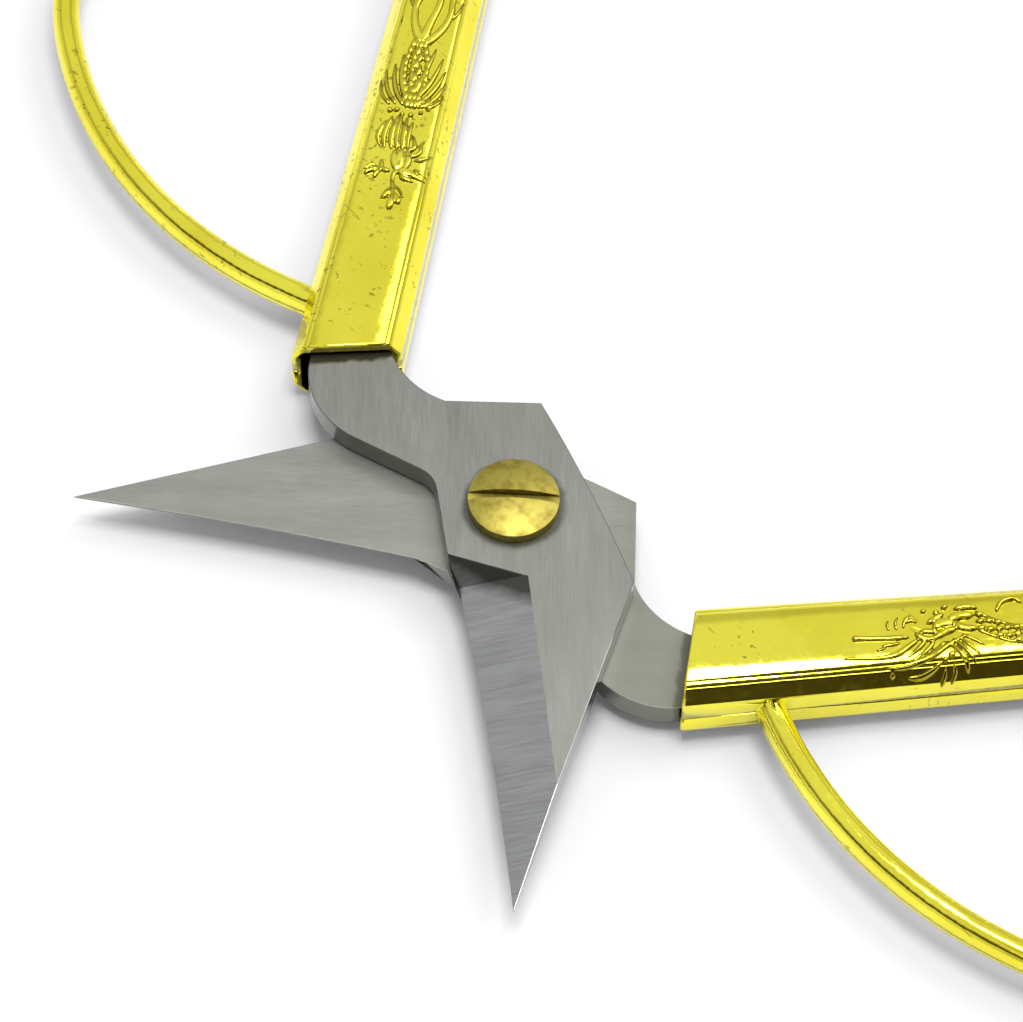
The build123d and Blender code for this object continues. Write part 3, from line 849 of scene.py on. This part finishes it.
for row in range(scale_rows):
    # the dragon's coiling body, which thins towards its tail: scales in threes
    # and twos between two ribs
    share = row / (scale_rows - 1)
    along = body_start + body_length * share
    centre = coil(along)
    girth = body_girth - girth_loss * share
    for offset in (-0.62, 0.62) if row % 2 else (-1.0, 0.0, 1.0):
        across = centre + offset * girth * 0.75
        middle = (across, along + 0.25, .16 + .18 * (1 - share))
        dragon.append([(across, along - 0.15, .16), middle, (across, along + 0.8, .08)])
    if row < scale_rows - 1:
        ahead = coil(along + 0.87)
        for rib in (-1, 1):
            middle = ((centre + ahead) / 2 + rib * girth, along + 0.45, .15)
            end = (ahead + rib * (girth - 0.03), along + 0.9, .17)
            dragon.append([(centre + rib * girth, along, .17), middle, end])

end_reach, end_width = 0.9, 0.25
carving_grid = 0.095
sunk_depth, flattening = 0.35, 1.25
shoulder_softness, shoulder_start = 0.5, 0.06


def carve(name, strokes, face, top, body):
    """Run the strokes together into one low relief on a panel of a handle."""
    half_turn, skew = turns[body], skews[body]
    bpy.ops.object.select_all(action="DESELECT")
    bpy.ops.curve.primitive_nurbs_path_add(location=(0, 0, 0))
    relief = bpy.context.object
    relief.name = relief.data.name = name
    outline = relief.data
    outline.splines.clear()
    outline.bevel_depth, outline.bevel_resolution, outline.resolution_u = 1.0, 3, 6
    outline.use_fill_caps = True
    for stroke in strokes:
        # Both ends are drawn in to a round point.
        (root_x, root_y, root_half), (tip_x, tip_y, tip_half) = stroke[0], stroke[-1]
        start = (Vector(stroke[0][:2]) - Vector(stroke[1][:2])).normalized() * root_half * end_reach
        finish = (Vector(stroke[-1][:2]) - Vector(stroke[-2][:2])).normalized() * tip_half * end_reach
        root_end = (root_x + start.x, root_y + start.y, root_half * end_width)
        tip_end = (tip_x + finish.x, tip_y + finish.y, tip_half * end_width)
        stroke = [root_end, *stroke, tip_end]
        spline = outline.splines.new("NURBS")
        spline.points.add(len(stroke) - 1)
        for point, (across, along, half_width) in zip(spline.points, stroke):
            point.co = (across, along, 0, 1)
            point.radius = half_width * boldness
        spline.order_u = min(3, len(stroke))
        spline.use_endpoint_u = True
    bpy.ops.object.convert(target="MESH")
    relief = bpy.context.object
    fuse = relief.modifiers.new("fuse", "REMESH")
    fuse.mode, fuse.voxel_size = "VOXEL", carving_grid
    bpy.ops.object.modifier_apply(modifier=fuse.name)
    soften = relief.modifiers.new("soften", "SMOOTH")
    soften.factor, soften.iterations = 0.5, 1
    bpy.ops.object.modifier_apply(modifier=soften.name)
    stroke_height = relief.data.attributes.new("stroke_height", "FLOAT", "POINT").data
    for vertex in relief.data.vertices:
        across, along, rise = vertex.co
        stroke_height[vertex.index].value = max(rise, 0)
        # A stroke's round back is flattened, so that broad bodies stay low.
        rise = top * math.tanh(flattening * rise / top) if rise > 0 else max(rise, -sunk_depth)
        # The relief follows the panel and sweeps down with its shoulder.
        edge = bar_half + (bar_end_half - bar_half) * along / bar_length - shoulder_inset
        over = abs(across) - edge
        over = 0.5 * (over + math.hypot(over, shoulder_softness))
        base = panel_height - shoulder_drop / shoulder_inset * max(over - shoulder_start, 0)
        turned = Vector((across, along - peg_along, 0))
        turned.rotate(Matrix.Rotation(-skew, 3, "Z"))
        bar = Vector((turned.x, turned.y + peg_along, 0))
        bar.rotate(Matrix.Rotation(-bar_lean, 3, "Z"))
        vertex.co = (mouth_middle + bar + Vector((0, 0, face * (base + rise)))) * MM
    mesh = relief.data
    if half_turn < 0:
        mesh.transform(Matrix.Rotation(math.pi, 4, "Y"))
    mesh.transform(Matrix.Translation((0, 0, pivot_height)) @ Matrix.Rotation(half_turn, 4, "Z"))
    if face < 0:
        mesh.flip_normals()
    bpy.ops.object.shade_smooth()
    mesh.materials.append(relief_gilt)
    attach(relief, body)


carve("upper_phoenix_relief", phoenix, 1, shown_rise, "upper_half")
carve("upper_dragon_relief", dragon, -1, resting_rise, "upper_half")
carve("lower_dragon_relief", dragon, -1, shown_rise, "lower_half")
carve("lower_phoenix_relief", phoenix, 1, resting_rise, "lower_half")
